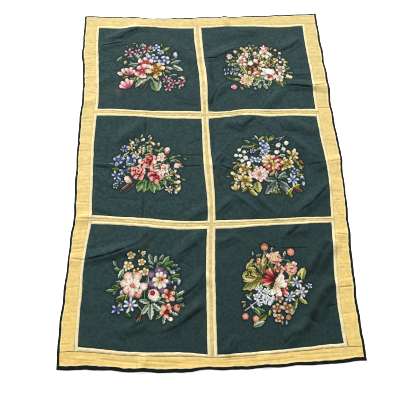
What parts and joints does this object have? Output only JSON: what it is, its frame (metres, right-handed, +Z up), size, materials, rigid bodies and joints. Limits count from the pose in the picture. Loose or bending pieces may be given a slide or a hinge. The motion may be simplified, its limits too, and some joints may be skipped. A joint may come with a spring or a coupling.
{
  "type": "needlework wall hanging",
  "caption": "Needlework hanging of flower panels on dark green, with cream edging, gold sashes and border and a dark binding, laid out flat with soft folds.",
  "frame": {"origin": "on the floor plane, under the middle of the box round the lying cloth", "axes": "+Z up out of the stitched face, +Y towards the top edge, +X to the right as the face is seen"},
  "size_m": [1.2248, 1.7538, 0.0117],
  "materials": {
    "green_wool": "matte wool stitches",
    "cream_cloth": "matte",
    "gold_cloth": "slightly lustrous weave",
    "dark_cloth": "matte"
  },
  "bodies": {
    "root": {"panel_r1c1": "green_wool", "panel_r1c2": "green_wool", "panel_r2c1": "green_wool", "panel_r2c2": "green_wool", "panel_r3c1": "green_wool", "panel_r3c2": "green_wool", "edging_r1c1_left": "cream_cloth", "edging_r1c1_right": "cream_cloth", "edging_r1c1_bottom": "cream_cloth", "edging_r1c1_top": "cream_cloth", "edging_r1c2_left": "cream_cloth", "edging_r1c2_right": "cream_cloth", "edging_r1c2_bottom": "cream_cloth", "edging_r1c2_top": "cream_cloth", "edging_r2c1_left": "cream_cloth", "edging_r2c1_right": "cream_cloth", "edging_r2c1_bottom": "cream_cloth", "edging_r2c1_top": "cream_cloth", "edging_r2c2_left": "cream_cloth", "edging_r2c2_right": "cream_cloth", "edging_r2c2_bottom": "cream_cloth", "edging_r2c2_top": "cream_cloth", "edging_r3c1_left": "cream_cloth", "edging_r3c1_right": "cream_cloth", "edging_r3c1_bottom": "cream_cloth", "edging_r3c1_top": "cream_cloth", "edging_r3c2_left": "cream_cloth", "edging_r3c2_right": "cream_cloth", "edging_r3c2_bottom": "cream_cloth", "edging_r3c2_top": "cream_cloth", "sash_upright": "gold_cloth", "sash_upper_left": "gold_cloth", "sash_upper_right": "gold_cloth", "sash_lower_left": "gold_cloth", "sash_lower_right": "gold_cloth", "border_left": "gold_cloth", "border_right": "gold_cloth", "border_bottom": "gold_cloth", "border_top": "gold_cloth", "binding_left": "dark_cloth", "binding_right": "dark_cloth", "binding_bottom": "dark_cloth", "binding_top": "dark_cloth"}
  },
  "joints": []
}
